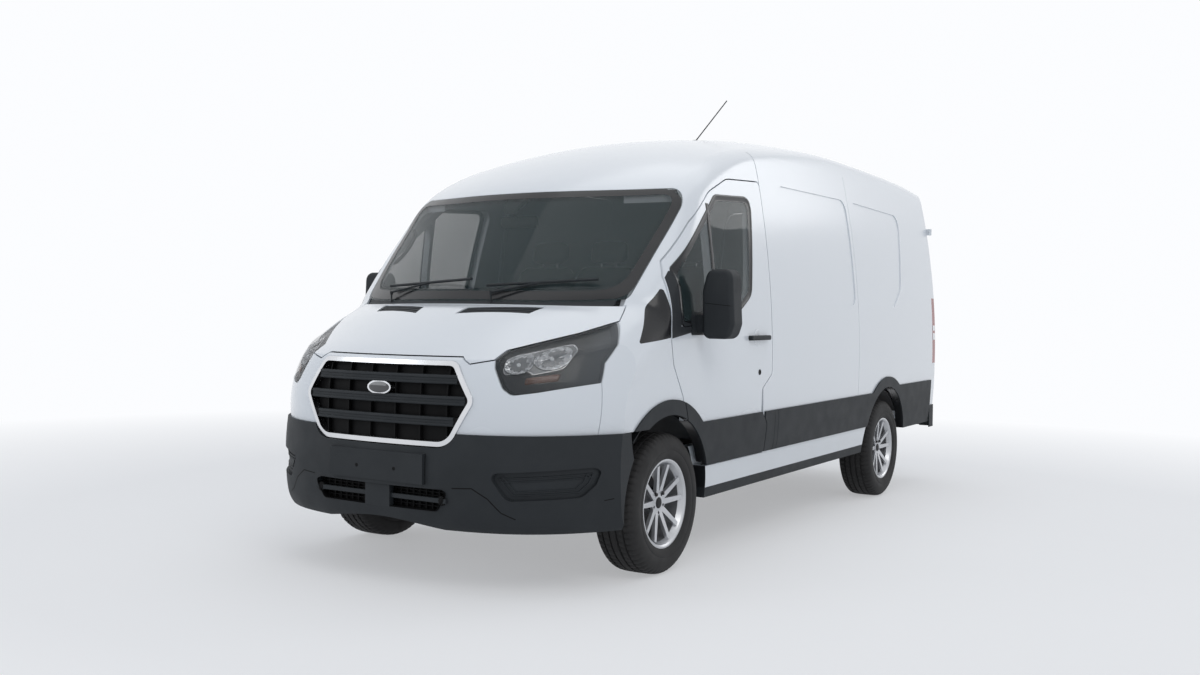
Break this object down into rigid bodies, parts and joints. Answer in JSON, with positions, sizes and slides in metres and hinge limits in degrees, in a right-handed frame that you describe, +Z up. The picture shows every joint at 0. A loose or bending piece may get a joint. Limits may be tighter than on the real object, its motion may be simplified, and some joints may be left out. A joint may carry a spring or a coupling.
{
  "type": "panel van",
  "caption": "White panel van with a long load space, opening front and rear doors, bonnet and steered front wheels.",
  "frame": {"origin": "on the ground under the middle of the length and width", "axes": "+Y towards the rear, the front faces -Y; +X towards the van's left; +Z up"},
  "size_m": [2.473, 5.5378, 2.8579],
  "materials": {
    "body_paint": "gloss white",
    "dark_plastic": "grained charcoal",
    "gloss_black": "gloss black",
    "window_glass": "tinted",
    "lamp_lens": "clear",
    "tail_lens": "red",
    "lamp_body": "dark bezel",
    "bright_trim": "satin bright",
    "chassis_metal": "satin black",
    "engine_metal": "cast",
    "exhaust_metal": "dull",
    "tyre_rubber": "black rubber",
    "wheel_alloy": "silver lacquer",
    "seat_cloth": "dark woven cloth",
    "dash_plastic": "dark grained"
  },
  "bodies": {
    "body": {"roof": "body_paint", "cab_frame": "body_paint", "front_wings": "body_paint", "nose_panel": "body_paint", "left_side": "body_paint", "right_side": "body_paint", "load_door": "body_paint", "sills": "body_paint", "rear_frame": "body_paint", "cowl_panel": "dark_plastic", "side_cladding": "dark_plastic", "front_bumper": "dark_plastic", "radiator_grille": "dark_plastic", "rear_bumper": "dark_plastic", "wheel_liners": "dark_plastic", "fuel_tank": "dark_plastic", "wipers": "dark_plastic", "antenna": "dark_plastic", "sail_panels": "gloss_black", "windshield": "window_glass", "front_suspension": "chassis_metal", "rear_axle": "chassis_metal", "leaf_springs": "chassis_metal", "drive_shaft": "chassis_metal", "floor_pan": "chassis_metal", "firewall": "chassis_metal", "grille_surround": "bright_trim", "lamp_housings": "lamp_body", "lamp_lenses": "lamp_lens", "tail_lamps": "tail_lens", "engine_block": "engine_metal", "exhaust": "exhaust_metal", "spare_wheel": "tyre_rubber", "driver_seat": "seat_cloth", "passenger_seat": "seat_cloth", "dashboard": "dash_plastic"},
    "left_front_door": {"left_door": "body_paint", "left_door_glass": "window_glass", "left_door_trim": "dark_plastic", "left_mirror": "dark_plastic"},
    "right_front_door": {"right_door": "body_paint", "right_door_glass": "window_glass", "right_door_trim": "dark_plastic", "right_mirror": "dark_plastic"},
    "left_rear_leaf": {"left_rear_door": "body_paint"},
    "right_rear_leaf": {"right_rear_door": "body_paint"},
    "bonnet_lid": {"bonnet": "body_paint", "bonnet_vents": "dark_plastic"},
    "left_upright": {"left_knuckle": "chassis_metal"},
    "right_upright": {"right_knuckle": "chassis_metal"},
    "steering": {"steering_wheel": "dash_plastic"},
    "front_left_wheel": {"front_left_tyre": "tyre_rubber", "front_left_rim": "wheel_alloy"},
    "front_right_wheel": {"front_right_tyre": "tyre_rubber", "front_right_rim": "wheel_alloy"},
    "rear_left_wheel": {"rear_left_tyre": "tyre_rubber", "rear_left_rim": "wheel_alloy"},
    "rear_right_wheel": {"rear_right_tyre": "tyre_rubber", "rear_right_rim": "wheel_alloy"}
  },
  "joints": [
    {"name": "left_front_door_hinge", "type": "hinge", "parent": "body", "child": "left_front_door", "pos_m": [1.008, -1.81317, 1.07915], "axis": [0, 0.012, -0.9999], "range_deg": [0, 68]},
    {"name": "right_front_door_hinge", "type": "hinge", "parent": "body", "child": "right_front_door", "pos_m": [-1.008, -1.81317, 1.07915], "axis": [0, -0.012, 0.9999], "range_deg": [0, 68]},
    {"name": "left_rear_door_hinge", "type": "hinge", "parent": "body", "child": "left_rear_leaf", "pos_m": [0.957, 2.7105, 1.13363], "axis": [0, 0.012, -0.9999], "range_deg": [0, 180]},
    {"name": "right_rear_door_hinge", "type": "hinge", "parent": "body", "child": "right_rear_leaf", "pos_m": [-0.957, 2.7105, 1.13363], "axis": [0, -0.012, 0.9999], "range_deg": [0, 180]},
    {"name": "bonnet_hinge", "type": "hinge", "parent": "body", "child": "bonnet_lid", "pos_m": [0, -1.90035, 1.34312], "axis": [-1, 0, 0], "range_deg": [0, 50]},
    {"name": "left_steer", "type": "hinge", "parent": "body", "child": "left_upright", "pos_m": [0.8, -1.73838, 0.35], "axis": [0, 0, 1], "range_deg": [-35, 35]},
    {"name": "front_left_wheel_spin", "type": "hinge", "parent": "left_upright", "child": "front_left_wheel", "pos_m": [0.87, -1.73838, 0.35], "axis": [1, 0, 0], "continuous": true},
    {"name": "rear_left_wheel_spin", "type": "hinge", "parent": "body", "child": "rear_left_wheel", "pos_m": [0.87, 1.56162, 0.35], "axis": [1, 0, 0], "continuous": true},
    {"name": "right_steer", "type": "hinge", "parent": "body", "child": "right_upright", "pos_m": [-0.8, -1.73838, 0.35], "axis": [0, 0, 1], "range_deg": [-35, 35]},
    {"name": "front_right_wheel_spin", "type": "hinge", "parent": "right_upright", "child": "front_right_wheel", "pos_m": [-0.87, -1.73838, 0.35], "axis": [1, 0, 0], "continuous": true},
    {"name": "rear_right_wheel_spin", "type": "hinge", "parent": "body", "child": "rear_right_wheel", "pos_m": [-0.87, 1.56162, 0.35], "axis": [1, 0, 0], "continuous": true},
    {"name": "steering_wheel_turn", "type": "hinge", "parent": "body", "child": "steering", "pos_m": [0.41, -1.22853, 1.1962], "axis": [0, 0.7805, 0.6251], "range_deg": [-560, 560]}
  ],
  "couplings": [
    {"joint": "right_steer", "follows": "left_steer", "ratio": 1},
    {"joint": "steering_wheel_turn", "follows": "left_steer", "ratio": 16}
  ]
}
